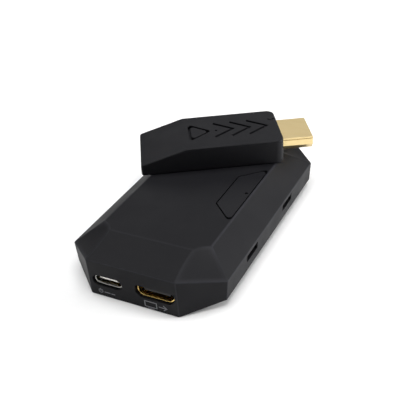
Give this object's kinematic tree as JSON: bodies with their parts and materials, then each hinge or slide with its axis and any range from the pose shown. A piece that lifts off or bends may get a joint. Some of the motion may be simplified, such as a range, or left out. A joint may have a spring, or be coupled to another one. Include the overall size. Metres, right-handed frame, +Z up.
{
  "type": "streaming media player",
  "caption": "Low faceted black streaming box with two front ports and a side button, and a wedge-tailed plug-in dongle with a gold plug lying across its top.",
  "frame": {"origin": "centre of the box's flat underside, on the surface it stands on", "axes": "+X across the box to the side with the button, +Y from the face with the ports to the rear, +Z up"},
  "size_m": [0.0563, 0.0852, 0.0221],
  "materials": {
    "soft_touch_black": "fine matte moulded",
    "button_black": "matte moulded",
    "lid_black": "fine matte moulded",
    "gold_plate": "satin gold plated",
    "nickel_plate": "satin nickel plated",
    "screw_steel": "black zinc",
    "contact_gold": "gold plated",
    "connector_black": "glass-filled moulded",
    "board_green": "solder mask",
    "chip_black": "moulded epoxy",
    "thermal_grey": "silicone pad",
    "heat_sink_metal": "extruded",
    "ceramic_part": "ceramic",
    "light_guide": "clear moulded",
    "led_white": "moulded"
  },
  "bodies": {
    "box": {"box_top_cover": "soft_touch_black", "box_bottom_cover": "lid_black", "cover_screws": "screw_steel", "box_board": "board_green", "usb_shell": "nickel_plate", "usb_tongue": "connector_black", "usb_contacts": "contact_gold", "video_shell": "gold_plate", "video_tongue": "connector_black", "video_contacts": "contact_gold", "box_switch": "chip_black", "box_led": "led_white", "box_processor": "chip_black", "box_thermal_pad": "thermal_grey", "box_heat_sink": "heat_sink_metal", "box_memory": "chip_black", "radio_shield": "nickel_plate", "box_antenna": "ceramic_part", "box_capacitors": "ceramic_part"},
    "box_button": {"box_button": "button_black", "box_light_pipe": "light_guide", "box_switch_plunger": "connector_black"},
    "dongle": {"dongle_top_cover": "soft_touch_black", "dongle_bottom_cover": "lid_black", "dongle_board": "board_green", "plug_shell": "gold_plate", "plug_insulator": "connector_black", "plug_contacts": "contact_gold", "dongle_switch": "chip_black", "dongle_light_pipe": "light_guide", "dongle_led": "led_white", "dongle_radio_shield": "nickel_plate", "dongle_processor": "chip_black", "dongle_thermal_pad": "thermal_grey", "dongle_memory": "chip_black", "dongle_antenna": "ceramic_part"},
    "dongle_button": {"dongle_button": "button_black", "dongle_switch_plunger": "connector_black"}
  },
  "joints": [
    {"name": "dongle_lift", "type": "slide", "parent": "box", "child": "dongle", "axis": [0, 0, 1], "range_m": [0, 0.06]},
    {"name": "box_button_press", "type": "slide", "parent": "box", "child": "box_button", "axis": [0, 0, -1], "range_m": [0, 0.0004], "stiffness_N_per_m": 600, "springref_m": -0.0004},
    {"name": "dongle_button_press", "type": "slide", "parent": "dongle", "child": "dongle_button", "axis": [0, 0, -1], "range_m": [0, 0.00025], "stiffness_N_per_m": 600, "springref_m": -0.0003}
  ]
}
